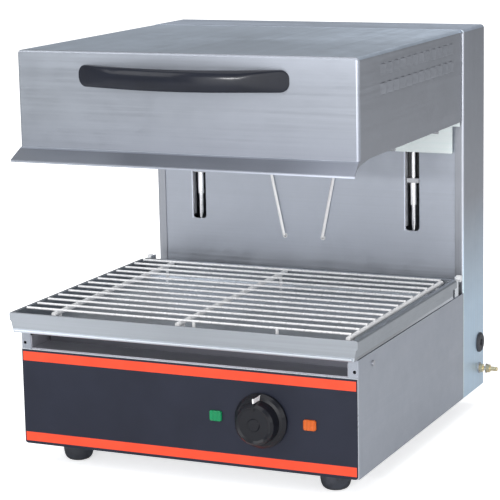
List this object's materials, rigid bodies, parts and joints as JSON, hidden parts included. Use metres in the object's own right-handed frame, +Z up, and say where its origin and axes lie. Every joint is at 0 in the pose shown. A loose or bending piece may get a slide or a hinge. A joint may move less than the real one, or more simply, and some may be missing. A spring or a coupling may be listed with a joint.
{
  "type": "cheese melter",
  "caption": "Countertop cheese melter: a heated head slides down a rear tower over a grill pan and wire rack, above a control panel with a drip tray slot.",
  "frame": {"origin": "on the plane it stands on, under the middle of the base housing (mount standing_plane)", "axes": "+X to the right as seen from the front, +Y to the back, +Z up"},
  "size_m": [0.482, 0.5016, 0.522],
  "materials": {
    "brushed_steel": "satin brushed",
    "bright_steel": "fine satin",
    "chrome_wire": "bright",
    "black_fascia": "satin black with orange-red stripes",
    "zinc_steel": "dull zinc",
    "black_gloss": "gloss black",
    "black_matte": "matte black",
    "black_rubber": "matte",
    "green_lens": "translucent green",
    "orange_lens": "translucent orange",
    "white_nylon": "matte white",
    "brass": "plain brass",
    "element_metal": "oxidised",
    "ceramic": "unglazed ceramic",
    "mineral_wool": "fibrous",
    "lead_sleeve": "steel braid"
  },
  "bodies": {
    "chassis": {"base_body": "brushed_steel", "front_panel": "brushed_steel", "control_fascia": "black_fascia", "tray_deck": "brushed_steel", "tray_runners": "zinc_steel", "pan_glides": "white_nylon", "pan_stops": "bright_steel", "stop_rollers": "white_nylon", "tower_cover": "brushed_steel", "tower_front_panel": "brushed_steel", "rear_cover": "brushed_steel", "rear_screws": "zinc_steel", "base_side_screws": "zinc_steel", "lower_crossmember": "zinc_steel", "upper_crossmember": "zinc_steel", "guide_shafts": "chrome_wire", "counterbalance_springs": "zinc_steel", "lead_bushings": "white_nylon", "element_leads": "lead_sleeve", "energy_regulator": "black_matte", "green_lamp": "green_lens", "orange_lamp": "orange_lens", "lamp_housings": "black_matte", "cable_grommet": "black_rubber", "earth_stud": "brass", "earth_nuts": "brass", "earth_washers": "zinc_steel", "terminal_block": "ceramic", "feet": "black_rubber", "foot_bolts": "zinc_steel"},
    "head": {"head_cover": "brushed_steel", "head_front_panel": "brushed_steel", "head_rear_panel": "bright_steel", "reflector": "bright_steel", "heating_elements": "element_metal", "element_bushes": "ceramic", "element_hangers": "zinc_steel", "insulation_pad": "mineral_wool", "handle": "black_gloss", "handle_screws": "zinc_steel", "head_side_screws": "zinc_steel", "lead_glands": "black_matte", "head_arms": "zinc_steel", "carriage_plate": "zinc_steel", "carriage_bushes": "chrome_wire"},
    "drip_tray": {"drip_tray": "bright_steel"},
    "grill_pan": {"grill_pan": "bright_steel"},
    "wire_rack": {"wire_rack": "chrome_wire", "rack_bars": "chrome_wire", "rack_legs": "chrome_wire"},
    "knob": {"knob": "black_matte", "control_shaft": "brass"}
  },
  "joints": [
    {"name": "head_lift", "type": "slide", "parent": "chassis", "child": "head", "axis": [0, 0, -1], "range_m": [0, 0.11], "deforming": ["element_leads", "counterbalance_springs"]},
    {"name": "knob_turn", "type": "hinge", "parent": "chassis", "child": "knob", "pos_m": [0.102, -0.2376, 0.09], "axis": [0, 1, 0], "range_deg": [0, 300]},
    {"name": "pan_slide", "type": "slide", "parent": "chassis", "child": "grill_pan", "axis": [0, -1, 0], "range_m": [0, 0.25]},
    {"name": "rack_lift", "type": "slide", "parent": "grill_pan", "child": "wire_rack", "axis": [0, 0, 1], "range_m": [0, 0.05]},
    {"name": "tray_slide", "type": "slide", "parent": "chassis", "child": "drip_tray", "axis": [0, -1, 0], "range_m": [0, 0.3]}
  ]
}
